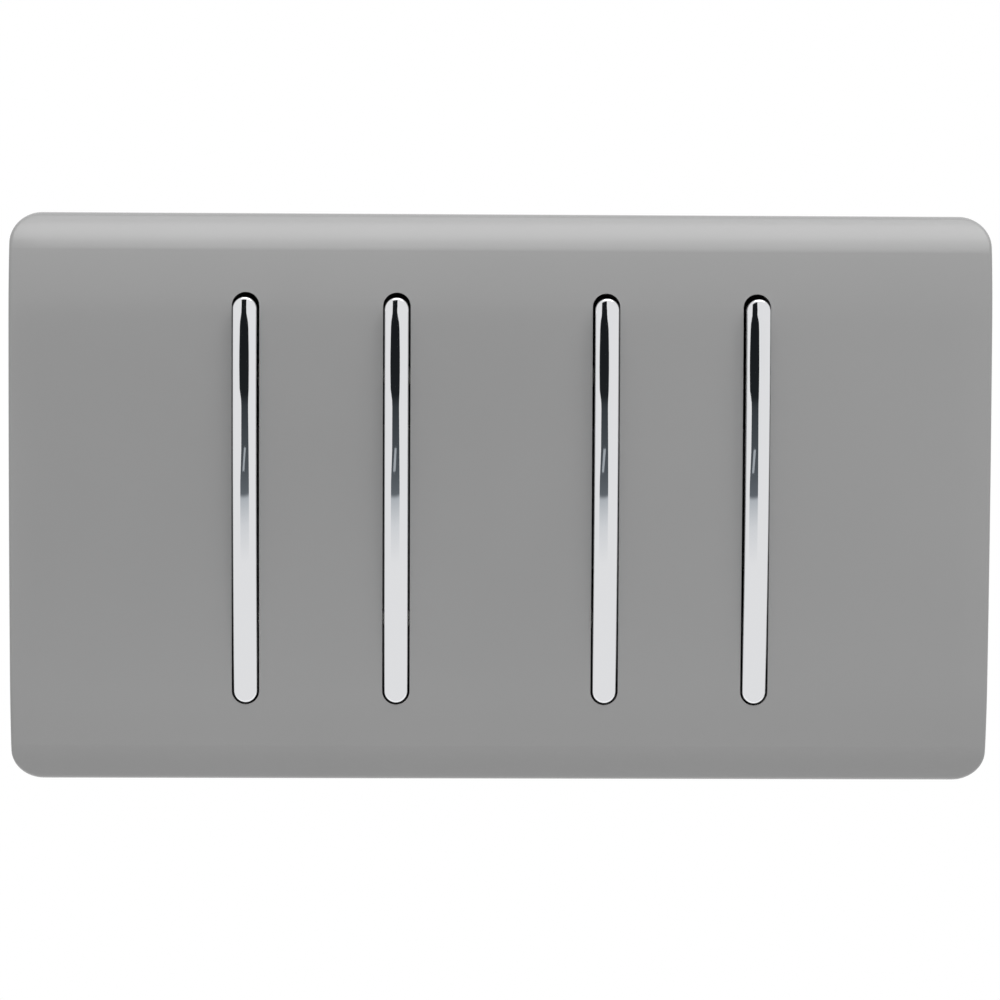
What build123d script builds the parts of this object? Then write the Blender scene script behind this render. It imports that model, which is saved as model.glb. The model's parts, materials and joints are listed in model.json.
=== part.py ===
"""A four-gang rocker light switch on a double wall plate.

Millimetres. X is to the right, Y is into the wall and Z is up. The origin is the centre of the plate
on the wall face, so everything in front of the wall has a negative Y.
"""

import os
from math import asin, cos, degrees, radians, sin

from build123d import *

# Front plate
plate_width = 148.0
plate_height = 86.0
plate_depth = 10.5  # wall face to the crown of the front
plate_wall = 2.2
plate_corner_radius = 4.6
plate_edge_radius = 0.6
crown_radius = 900.0  # the nearly flat middle of the front, bent about X
shoulder_radius = 70.0
shoulder_width = 10.4
crease_radius = 1.2  # the line where the band starts
crease_angle = 4.0
band_radius = 12.0  # the band that rolls back to the top and bottom edges
band_width = 5.6
prise_notch_width = 9.0
prise_notch_depth = 1.3
trim_margin = 0.6  # how far the band's arc is drawn past the edge that trims it

# Rocker keys
key_length = 61.2
key_width = 3.58
key_proud = 2.4  # crown of a level key above the crown of the plate
key_bow_radius = 330.0  # lengthwise
key_crown_radius = 6.5  # crosswise
key_edge_radius = 0.3
key_end_gap = 0.5  # key to slot at each end
key_side_gap = 0.28
pair_pitch = 22.7  # between the two keys of a pair
inner_pitch = 31.5  # between the inner keys of the two pairs
rocker_tilt = 2.5  # each way from level

# Rocker cradle, below the key
pivot_behind_plate = 2.5  # trunnion axis behind the inside of the plate's crown
trunnion_radius = 1.1
trunnion_length = 2.1
cradle_width = 9.0
cradle_length = 22.0
cradle_front = 1.2  # from the trunnion axis forward to the key's seat
cradle_back = 2.6
cradle_end_radius = 0.8
key_leg_width = 2.2
key_leg_length = 3.2
key_leg_depth = 1.4
key_leg_spacing = 13.0
stem_radius = 2.6
stem_overhang = 6.5  # end of the stem behind the wall face
stem_bore_floor = 0.8  # solid web between the cradle and the bore

# Plunger and its spring
plunger_radius = 1.5
plunger_length = 9.0
plunger_gap = 0.2  # tip to a level contact blade
spring_wire_radius = 0.16
spring_coil_radius = 1.2
spring_turns = 5

# Seesaw contact
contact_pivot_depth = 11.4  # the edge that the blade rocks on, behind the wall face
contact_tilt = 6.0  # each way from level
blade_width = 5.0
blade_length = 22.0
blade_thickness = 0.8
tip_radius = 1.5
tip_thickness = 0.6
tip_offset = 8.5  # tips above and below the pivot edge
rivet_radius = 0.8
rivet_head_radius = 1.2
rivet_head_thickness = 0.3
closed_gap = 0.06  # between a moving tip and a fixed one when that side is closed
ridge_radius = 0.6
ridge_end_gap = 0.2  # ridge to the cheeks
cheek_thickness = 0.7
cheek_length = 2.4
cheek_gap = 0.15  # blade to cheek
cheek_rise = 0.3  # cheek in front of a level blade

# Switch module
module_gap = 0.65  # between the modules of a pair
module_height = 44.0
module_depth = 21.0  # wall face to the back of the module
module_corner_radius = 1.6
housing_wall = 1.4
cap_flange = 2.0
ear_thickness = 2.0
ear_length = 6.4
ear_rim = 0.8  # plastic around the trunnion bore
ear_corner_radius = 1.2
boss_radius = 2.1
boss_depth = 8.5
boss_web = 2.0
boss_floor = 0.5  # hole in the boss beyond the screw

# Terminals
terminal_width = 6.0
terminal_length = 6.0
terminal_depth = 8.0
terminal_gap = 0.1
terminal_side_gap = 1.5
wire_radius = 1.6
wire_depth = 3.6  # axis of the wire bore from the front of its block
tongue_thickness = 1.0
tongue_margin = 0.5  # tongue beyond the edge of its tip
fixed_tip_thickness = 0.5
strap_width = 3.0
strap_gap = 1.2  # strap to the side of the blade
bar_margin = 0.6  # cross bar beyond the cheeks
clamp_radius = 1.5
clamp_head_radius = 2.2
clamp_head_thickness = 1.2
drive_slot_width = 0.6
drive_slot_depth = 0.6

# Mounting frame
frame_thickness = 2.2
frame_gap = 0.5  # frame edge to the inside of the plate
frame_rib_inset = 5.0
frame_rib_width = 1.2
frame_rib_height = 1.4
frame_rib_radius = 3.2
window_gap = 0.5
clip_length = 8.0
clip_spacing = 44.0
clip_post_thickness = 1.4
clip_nib_depth = 1.0
clip_nib_reach = 1.0
clip_gap = 0.1

# Screws and earth terminal
fixing_pitch = 120.6
fixing_thread_radius = 1.75
fixing_neck_radius = 1.5
fixing_reach = 22.0  # end of the thread behind the wall face
fixing_head_radius = 3.3
fixing_head_thickness = 2.1
fixing_head_round = 0.9
fixing_drive_width = 1.1
fixing_drive_depth = 1.2
fixing_slot_length = 7.0
fixing_slot_width = 4.2
module_screw_radius = 1.3
module_screw_head_radius = 2.3
module_screw_head_thickness = 1.4
module_screw_reach = 9.0
earth_width = 7.0
earth_height = 9.0
earth_depth = 8.0
earth_spigot_radius = 1.5
earth_spigot_head_radius = 2.2
earth_spigot_head_thickness = 0.6

# Clearances
hole_clearance = 0.15
thread_clearance = 0.02
running_clearance = 0.05
loose_clearance = 0.3

# Overlaps of the shapes that are joined or cut
weld = 0.1
through = 1.0
tiny = 0.001

# Places that follow from the sizes
key_places = [
    -inner_pitch / 2 - pair_pitch,
    -inner_pitch / 2,
    inner_pitch / 2,
    inner_pitch / 2 + pair_pitch,
]
inner_crown = plate_depth - plate_wall
pivot_y = -inner_crown + pivot_behind_plate
key_crown_y = -plate_depth - key_proud
key_seat_y = pivot_y - cradle_front
frame_front_y = -frame_thickness
module_width = pair_pitch - module_gap
housing_front_y = cap_flange
housing_floor_y = module_depth - housing_wall
cavity_width = module_width - 2 * housing_wall
cavity_height = module_height - 2 * housing_wall
ear_inside = cradle_width / 2 + loose_clearance
ear_outside = ear_inside + ear_thickness
fixed_tip_y = (
    contact_pivot_depth
    + tip_thickness * cos(radians(contact_tilt))
    + (tip_offset + tip_radius) * sin(radians(contact_tilt))
    + closed_gap
)
tongue_front_y = fixed_tip_y + fixed_tip_thickness
tongue_back_y = tongue_front_y + tongue_thickness
terminal_x = cavity_width / 2 - terminal_side_gap - terminal_width / 2
terminal_end_z = cavity_height / 2 - terminal_gap
terminal_inner_z = terminal_end_z - terminal_length
terminal_front_y = housing_floor_y - terminal_depth
wire_y = terminal_front_y + wire_depth
earth_wire_y = wire_depth
boss_z = cavity_height / 2 - boss_radius
clip_post_outside = plate_width / 2 - plate_wall - frame_gap - clip_nib_reach
clip_nib_y = frame_front_y - clip_nib_depth - loose_clearance


def block(x0, x1, y0, y1, z0, z1):
    """A box between two corners."""
    centre = Pos((x0 + x1) / 2, (y0 + y1) / 2, (z0 + z1) / 2)
    return centre * Box(x1 - x0, y1 - y0, z1 - z0)


def bar_x(y, z, radius, x0, x1):
    """A round bar along X."""
    return Pos((x0 + x1) / 2, y, z) * Rot(0, 90, 0) * Cylinder(radius, x1 - x0)


def bar_y(x, z, radius, y0, y1):
    """A round bar along Y."""
    return Pos(x, (y0 + y1) / 2, z) * Rot(90, 0, 0) * Cylinder(radius, y1 - y0)


def bar_z(x, y, radius, z0, z1):
    """A round bar along Z."""
    return Pos(x, y, (z0 + z1) / 2) * Cylinder(radius, z1 - z0)


def plan_prism(width, height, radius, y0, y1):
    """A rounded rectangle, as seen from the front, carried through the depth from y0 to y1."""
    return Pos(0, y1, 0) * extrude(Plane.XZ * RectangleRounded(width, height, radius), y1 - y0)


def slot_prism(x, length, width, y0, y1, turn=90):
    """A round-ended slot, as seen from the front, carried through the depth from y0 to y1."""
    outline = Plane.XZ * Rot(0, 0, turn) * SlotOverall(length, width)
    return Pos(x, y1, 0) * extrude(outline, y1 - y0)


def front_arcs(half_height, crown_y):
    """Upper half of the front's section: three points for each arc, from the crown past the edge."""
    crown_run = half_height - band_width - shoulder_width
    z, y, slope = 0.0, crown_y, 0.0
    crease_slope = asin(crown_run / crown_radius)
    crease_slope = asin(sin(crease_slope) + shoulder_width / shoulder_radius)
    crease_run = crease_radius * (sin(crease_slope + radians(crease_angle)) - sin(crease_slope))
    arcs = []
    for radius, run in (
        (crown_radius, crown_run),
        (shoulder_radius, shoulder_width),
        (crease_radius, crease_run),
        (band_radius, band_width - crease_run + trim_margin),
    ):
        end_slope = asin(sin(slope) + run / radius)
        middle_slope = (slope + end_slope) / 2
        points = [
            (y + radius * (cos(slope) - cos(a)), z + radius * (sin(a) - sin(slope)))
            for a in (slope, middle_slope, end_slope)
        ]
        arcs.append(points)
        (y, z), slope = points[2], end_slope
    return arcs


def bowed_slab(width, half_height, crown_y):
    """The plate's section from the wall face to the front, carried along X."""
    upper = front_arcs(half_height, crown_y)
    edge_y, edge_z = upper[-1][2]
    edges = []
    for side in (1, -1):
        edges += [ThreePointArc(*[(0, y, side * z) for y, z in points]) for points in upper]
        edges.append(Line((0, edge_y, side * edge_z), (0, 0, side * edge_z)))
    edges.append(Line((0, 0, edge_z), (0, 0, -edge_z)))
    section = Face(Wire(edges))
    return extrude(section, width / 2, dir=(1, 0, 0), both=True)


def front_plate():
    """The clip-on cover: a bowed, round-cornered shell with a slot for each key."""
    half = plate_height / 2
    shell = bowed_slab(plate_width + 2 * through, half, -plate_depth) & plan_prism(
        plate_width, plate_height, plate_corner_radius, -plate_depth - through, 0
    )
    rim = []
    for edge in shell.edges():
        box = edge.bounding_box()
        across_front = box.size.Z < tiny and abs(box.min.Z) < half - tiny
        if box.max.Y < -tiny and not across_front:
            rim.append(edge)
    shell = fillet(rim, plate_edge_radius)
    inner_width = plate_width - 2 * plate_wall
    inner_radius = plate_corner_radius - plate_wall
    shell -= bowed_slab(inner_width, half - plate_wall, -inner_crown) & plan_prism(
        inner_width, plate_height - 2 * plate_wall, inner_radius, -plate_depth, 0
    )
    for x in key_places:
        slot_length = key_length + 2 * key_end_gap
        slot_width = key_width + 2 * key_side_gap
        shell -= slot_prism(x, slot_length, slot_width, -plate_depth - through, 0)
    nib_y = clip_nib_y + clip_gap
    for side in (-1, 1):
        wall_x = plate_width / 2 - plate_wall
        inner_x = clip_post_outside + loose_clearance
        x0, x1 = sorted((side * inner_x, side * (wall_x + weld)))
        for z in (-clip_spacing / 2, clip_spacing / 2):
            z0, z1 = z - clip_length / 2, z + clip_length / 2
            shell += block(x0, x1, nib_y, nib_y + clip_nib_depth, z0, z1)
    notch = prise_notch_width / 2
    shell -= block(-notch, notch, -prise_notch_depth, through, -half - through, -half + plate_wall + weld)
    return shell


def mounting_frame():
    """The flat frame behind the cover, with a window for each module and posts for the clips."""
    inset = plate_wall + frame_gap
    width = plate_width - 2 * inset
    height = plate_height - 2 * inset
    frame = plan_prism(width, height, plate_corner_radius - plate_wall, frame_front_y, 0)
    rib_width = width - 2 * frame_rib_inset
    rib_height = height - 2 * frame_rib_inset
    rib_front = frame_front_y - frame_rib_height
    rib = plan_prism(rib_width, rib_height, frame_rib_radius, rib_front, frame_front_y)
    rib -= plan_prism(
        rib_width - 2 * frame_rib_width,
        rib_height - 2 * frame_rib_width,
        frame_rib_radius - frame_rib_width,
        rib_front,
        frame_front_y,
    )
    frame += rib
    window_x = ear_outside + window_gap
    window_z = ear_length / 2 + window_gap
    for x in key_places:
        frame -= block(x - window_x, x + window_x, frame_front_y - through, through, -window_z, window_z)
        for z in (-boss_z, boss_z):
            frame -= bar_y(x, z, module_screw_radius + hole_clearance, frame_front_y - through, through)
    for side in (-1, 1):
        x = side * fixing_pitch / 2
        frame -= slot_prism(
            x, fixing_slot_length, fixing_slot_width, frame_front_y - through, through, turn=0
        )
        x0, x1 = sorted((side * (clip_post_outside - clip_post_thickness), side * clip_post_outside))
        n0, n1 = sorted((side * (clip_post_outside - weld), side * (clip_post_outside + clip_nib_reach)))
        for z in (-clip_spacing / 2, clip_spacing / 2):
            z0, z1 = z - clip_length / 2, z + clip_length / 2
            frame += block(x0, x1, clip_nib_y - clip_nib_depth, frame_front_y + weld, z0, z1)
            frame += block(n0, n1, clip_nib_y - clip_nib_depth, clip_nib_y, z0, z1)
    frame -= bar_y(0, 0, earth_spigot_radius + running_clearance, frame_front_y - through, through)
    return frame


def rocker_key():
    """The chrome key: a round-ended bar, bowed lengthwise and crowned crosswise, with two legs."""
    axis_y = key_crown_y + key_bow_radius
    half = key_width / 2 + through
    shoulder_y = key_crown_y + key_crown_radius - (key_crown_radius**2 - half**2) ** 0.5
    back_y = key_seat_y + through
    section = Face(
        Wire(
            [
                ThreePointArc((-half, shoulder_y, 0), (0, key_crown_y, 0), (half, shoulder_y, 0)),
                Line((half, shoulder_y, 0), (half, back_y, 0)),
                Line((half, back_y, 0), (-half, back_y, 0)),
                Line((-half, back_y, 0), (-half, shoulder_y, 0)),
            ]
        )
    )
    sweep_angle = degrees((key_length + 2 * through) / key_bow_radius)
    turn = Axis((0, axis_y, 0), (1, 0, 0))
    bowed = revolve(section.rotate(turn, -sweep_angle / 2), turn, sweep_angle)
    bowed += block(-half, half, key_seat_y - key_edge_radius, back_y, -key_length, key_length)
    bar = slot_prism(0, key_length, key_width, key_crown_y - through, key_seat_y) & bowed
    rim = [e for e in bar.edges() if e.bounding_box().max.Y < key_seat_y - key_edge_radius]
    bar = fillet(rim, key_edge_radius)
    for z in (-key_leg_spacing / 2, key_leg_spacing / 2):
        bar += block(
            -key_leg_width / 2,
            key_leg_width / 2,
            key_seat_y - weld,
            key_seat_y + key_leg_depth,
            z - key_leg_length / 2,
            z + key_leg_length / 2,
        )
    return bar


def rocker_cradle():
    """The moulded rocker below a key, with its trunnions and the hollow stem for the plunger."""
    half = cradle_width / 2
    reach = cradle_length / 2
    back_y = pivot_y + cradle_back
    cradle = block(-half, half, key_seat_y, back_y, -reach, reach)
    cradle = fillet(cradle.edges().filter_by(Axis.X), cradle_end_radius)
    cradle += bar_x(pivot_y, 0, trunnion_radius, -half - trunnion_length, half + trunnion_length)
    cradle += bar_y(0, 0, stem_radius, back_y - weld, stem_overhang)
    bore_radius = plunger_radius + running_clearance
    cradle -= bar_y(0, 0, bore_radius, back_y + stem_bore_floor, stem_overhang + through)
    play = running_clearance
    for z in (-key_leg_spacing / 2, key_leg_spacing / 2):
        cradle -= block(
            -key_leg_width / 2 - play,
            key_leg_width / 2 + play,
            key_seat_y - through,
            key_seat_y + key_leg_depth + play,
            z - key_leg_length / 2 - play,
            z + key_leg_length / 2 + play,
        )
    return cradle


def plunger_span():
    """Front and back of the plunger of a level rocker."""
    tip_y = contact_pivot_depth - blade_thickness - plunger_gap
    return tip_y - plunger_length, tip_y


def plunger():
    """The round-nosed pin in the stem."""
    start_y, tip_y = plunger_span()
    pin = bar_y(0, 0, plunger_radius, start_y, tip_y - plunger_radius)
    return pin + Pos(0, tip_y - plunger_radius, 0) * Sphere(plunger_radius)


def plunger_spring():
    """The coil spring between the bore's floor and the plunger."""
    floor_y = pivot_y + cradle_back + stem_bore_floor
    start_y = floor_y + spring_wire_radius + running_clearance
    height = plunger_span()[0] - running_clearance - spring_wire_radius - start_y
    coil = Helix(height / spring_turns, height, spring_coil_radius)
    wire = Plane(origin=coil @ 0, z_dir=coil % 0) * Circle(spring_wire_radius)
    return Pos(0, start_y, 0) * Rot(-90, 0, 0) * sweep(wire, path=coil)


def contact_blade():
    """The seesaw strip, level, with its notches for the cheeks and holes for the rivets."""
    back_y = contact_pivot_depth
    front_y = back_y - blade_thickness
    strip = slot_prism(0, blade_length, blade_width, front_y, back_y)
    notch_x = blade_width / 2 - cheek_thickness
    notch_z = cheek_length / 2 + loose_clearance
    for side in (-1, 1):
        x0, x1 = sorted((side * notch_x, side * (blade_width / 2 + through)))
        strip -= block(x0, x1, front_y - through, back_y + through, -notch_z, notch_z)
        hole_radius = rivet_radius + thread_clearance
        strip -= bar_y(0, side * tip_offset, hole_radius, front_y - through, back_y + through)
    return strip


def moving_contacts():
    """The two riveted tips of a level seesaw."""
    back_y = contact_pivot_depth
    front_y = back_y - blade_thickness
    tips = []
    for z in (-tip_offset, tip_offset):
        tip = bar_y(0, z, tip_radius, back_y, back_y + tip_thickness)
        tip += bar_y(0, z, rivet_radius, front_y - weld, back_y + weld)
        tip += bar_y(0, z, rivet_head_radius, front_y - rivet_head_thickness, front_y)
        tips.append(tip)
    return tips[0] + tips[1]


def module_cap():
    """The module's front: a flange behind the frame and two ears that hold the trunnions."""
    cap = plan_prism(module_width, module_height, module_corner_radius, 0, cap_flange)
    swing = (cap_flange - pivot_y) * sin(radians(rocker_tilt))
    half_x = stem_radius + loose_clearance
    half_z = stem_radius + swing + loose_clearance
    cap -= block(-half_x, half_x, -through, cap_flange + through, -half_z, half_z)
    ear_top = pivot_y - trunnion_radius - ear_rim
    for side in (-1, 1):
        x0, x1 = sorted((side * ear_inside, side * ear_outside))
        ear = block(x0, x1, ear_top, weld, -ear_length / 2, ear_length / 2)
        ear = fillet(ear.edges().filter_by(Axis.X).group_by(Axis.Y)[0], ear_corner_radius)
        cap += ear
    reach = ear_outside + through
    cap -= bar_x(pivot_y, 0, trunnion_radius + running_clearance, -reach, reach)
    for z in (-boss_z, boss_z):
        cap -= bar_y(0, z, module_screw_radius + hole_clearance, -through, cap_flange + through)
    return cap


def terminal_spots():
    """Each terminal block of a module: its X and its end of the module, +1 for the top."""
    return {"upper": (-terminal_x, 1), "common": (terminal_x, 1), "lower": (-terminal_x, -1)}


def module_housing():
    """The moulded box behind the frame, with posts under the contacts and holes for wires."""
    box = plan_prism(module_width, module_height, module_corner_radius, housing_front_y, module_depth)
    inner_radius = module_corner_radius - housing_wall
    box -= plan_prism(
        cavity_width, cavity_height, inner_radius, housing_front_y - through, housing_floor_y
    )
    post = tip_radius
    for z in (-tip_offset, 0, tip_offset):
        box += block(-post, post, tongue_back_y, housing_floor_y + weld, z - post, z + post)
    rib = terminal_x - terminal_width / 2 - loose_clearance
    rib_z = terminal_inner_z + loose_clearance
    rib_end = cavity_height / 2 + weld
    box += block(-rib / 2, rib / 2, terminal_front_y, housing_floor_y + weld, rib_z, rib_end)
    for side in (-1, 1):
        z0, z1 = sorted((side * boss_z, side * (cavity_height / 2 + weld)))
        back = housing_front_y + boss_depth
        box += bar_y(0, side * boss_z, boss_radius, housing_front_y, back)
        box += block(-boss_web / 2, boss_web / 2, housing_front_y, back, z0, z1)
        pilot = module_screw_radius + thread_clearance
        box -= bar_y(0, side * boss_z, pilot, housing_front_y - through, module_screw_reach + boss_floor)
    for x, end in terminal_spots().values():
        z0, z1 = sorted((end * (cavity_height / 2 - weld), end * (module_height / 2 + through)))
        box -= bar_z(x, wire_y, wire_radius + hole_clearance, z0, z1)
        screw_z = end * (terminal_end_z - terminal_length / 2)
        hole_radius = clamp_head_radius + loose_clearance
        box -= bar_y(x, screw_z, hole_radius, housing_floor_y - through, module_depth + through)
    return box


def terminal_block(x, end):
    """A brass block with a wire bore along Z and a threaded hole from behind."""
    z0, z1 = sorted((end * terminal_inner_z, end * terminal_end_z))
    half = terminal_width / 2
    brass = block(x - half, x + half, terminal_front_y, housing_floor_y, z0, z1)
    brass -= bar_z(x, wire_y, wire_radius, z0 - through, z1 + through)
    brass -= bar_y(x, (z0 + z1) / 2, clamp_radius + thread_clearance, wire_y, housing_floor_y + through)
    return brass


def line_terminal(end):
    """A line terminal: its block and the tongue that carries a fixed tip."""
    x, _ = terminal_spots()["upper"]
    z0, z1 = sorted((end * (tip_offset - tip_radius - tongue_margin), end * (terminal_inner_z + weld)))
    left = x - terminal_width / 2
    tongue = block(left, tip_radius + tongue_margin, tongue_front_y, tongue_back_y, z0, z1)
    return terminal_block(x, end) + tongue


def common_terminal():
    """The common terminal: its block, a strap, and the ridge and cheeks that carry the seesaw."""
    x, end = terminal_spots()["common"]
    inner = blade_width / 2 - cheek_thickness + cheek_gap
    outer = inner + cheek_thickness
    ridge_half = inner - ridge_end_gap
    bar_half = cheek_length / 2 + bar_margin
    strap_left = blade_width / 2 + strap_gap
    brass = terminal_block(x, end)
    strap_right = strap_left + strap_width
    strap_end = terminal_inner_z + weld
    brass += block(strap_left, strap_right, tongue_front_y, tongue_back_y, -bar_half, strap_end)
    brass += block(-outer, strap_right, tongue_front_y, tongue_back_y, -bar_half, bar_half)
    ridge_y = contact_pivot_depth + ridge_radius + running_clearance
    brass += block(-ridge_half, ridge_half, ridge_y, tongue_front_y + weld, -ridge_radius, ridge_radius)
    brass += bar_x(ridge_y, 0, ridge_radius, -ridge_half, ridge_half)
    cheek_front = contact_pivot_depth - blade_thickness - cheek_rise
    for side in (-1, 1):
        x0, x1 = sorted((side * inner, side * outer))
        half = cheek_length / 2
        brass += block(x0, x1, cheek_front, tongue_front_y + weld, -half, half)
    return brass


def slotted_screw(x, z, radius, head_radius, head_thickness, tip_y, head_y):
    """A screw driven from behind: its tip is at tip_y and its head starts at head_y."""
    screw = bar_y(x, z, radius, tip_y, head_y + weld)
    screw += bar_y(x, z, head_radius, head_y, head_y + head_thickness)
    back = head_y + head_thickness
    half = drive_slot_width / 2
    reach = head_radius + through
    return screw - block(x - reach, x + reach, back - drive_slot_depth, back + through, z - half, z + half)


def terminal_screws():
    """The three clamp screws of a module, backed off so that the wire bores are clear."""
    tip_y = wire_y + wire_radius + running_clearance
    head_y = housing_floor_y + running_clearance
    group = Part()
    for x, end in terminal_spots().values():
        z = end * (terminal_end_z - terminal_length / 2)
        group += slotted_screw(x, z, clamp_radius, clamp_head_radius, clamp_head_thickness, tip_y, head_y)
    return group


def fixed_contacts():
    """The silver tips on the line terminals of one module."""
    group = Part()
    for z in (-tip_offset, tip_offset):
        group += bar_y(0, z, tip_radius, fixed_tip_y, tongue_front_y)
    return group


def module_screws():
    """The two screws that hold one module to the frame."""
    group = Part()
    head_front = frame_front_y - module_screw_head_thickness
    half = drive_slot_width / 2
    for z in (-boss_z, boss_z):
        screw = bar_y(0, z, module_screw_radius, frame_front_y - weld, module_screw_reach)
        screw += bar_y(0, z, module_screw_head_radius, head_front, frame_front_y)
        reach = module_screw_head_radius + through
        slot_y = head_front + drive_slot_depth
        screw -= block(-reach, reach, head_front - through, slot_y, z - half, z + half)
        group += screw
    return group


def fixing_screws():
    """The two screws that go into the wall box, each with a plain neck through the frame."""
    group = Part()
    head_front = frame_front_y - fixing_head_thickness
    half = fixing_drive_width / 2
    for side in (-1, 1):
        x = side * fixing_pitch / 2
        screw = bar_y(x, 0, fixing_neck_radius, frame_front_y - weld, weld)
        screw += bar_y(x, 0, fixing_thread_radius, 0, fixing_reach)
        head = bar_y(x, 0, fixing_head_radius, head_front, frame_front_y)
        head = fillet(head.edges().group_by(Axis.Y)[0], fixing_head_round)
        reach = fixing_head_radius + through
        screw += head
        slot_y = head_front + fixing_drive_depth
        screw -= block(x - reach, x + reach, head_front - through, slot_y, -half, half)
        group += screw
    return group


def earth_terminal():
    """The earth block in the middle, held by a spigot that is spread over the frame's front."""
    half_x = earth_width / 2
    half_z = earth_height / 2
    brass = block(-half_x, half_x, 0, earth_depth, -half_z, half_z)
    head_y = frame_front_y - earth_spigot_head_thickness
    brass += bar_y(0, 0, earth_spigot_radius, head_y, weld)
    brass += bar_y(0, 0, earth_spigot_head_radius, head_y, frame_front_y)
    brass -= bar_z(0, earth_wire_y, wire_radius, -half_z - through, half_z + through)
    brass -= bar_y(0, 0, clamp_radius + thread_clearance, earth_wire_y, earth_depth + through)
    return brass


def earth_screw():
    """The earth terminal's clamp screw."""
    tip_y = earth_wire_y + wire_radius + running_clearance
    head_y = earth_depth + running_clearance
    return slotted_screw(0, 0, clamp_radius, clamp_head_radius, clamp_head_thickness, tip_y, head_y)


def tilted(piece, x, depth, angle):
    """A piece of a module moved to its key's place and turned about a level axis along X."""
    return Pos(x, depth, 0) * Rot(angle, 0, 0) * Pos(0, -depth, 0) * piece


def save(name, piece):
    export_step(piece, f"parts/{name}.step")


os.makedirs("parts", exist_ok=True)

save("front_plate", front_plate())
save("mounting_frame", mounting_frame())
save("fixing_screws", fixing_screws())
save("earth_terminal", earth_terminal())
save("earth_screw", earth_screw())

rocking = {
    "rocker_key": rocker_key(),
    "rocker_cradle": rocker_cradle(),
    "plunger": plunger(),
    "plunger_spring": plunger_spring(),
}
seesaw = {
    "contact_blade": contact_blade(),
    "moving_contacts": moving_contacts(),
}
still = {
    "module_cap": module_cap(),
    "module_housing": module_housing(),
    "common_terminal": common_terminal(),
    "line_terminal_upper": line_terminal(1),
    "line_terminal_lower": line_terminal(-1),
    "terminal_screws": terminal_screws(),
}
screw_pair = module_screws()
tip_pair = fixed_contacts()
screw_group = Part()
tip_group = Part()
for number, x in enumerate(key_places, start=1):
    for name, piece in rocking.items():
        save(f"{name}_{number}", tilted(piece, x, pivot_y, rocker_tilt))
    for name, piece in seesaw.items():
        save(f"{name}_{number}", tilted(piece, x, contact_pivot_depth, -contact_tilt))
    for name, piece in still.items():
        save(f"{name}_{number}", Pos(x, 0, 0) * piece)
    screw_group += Pos(x, 0, 0) * screw_pair
    tip_group += Pos(x, 0, 0) * tip_pair
save("module_screws", screw_group)
save("fixed_contacts", tip_group)
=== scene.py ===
"""Rocker light switch: a gloss double plate with four slim chrome keys, and its works behind."""

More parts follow.
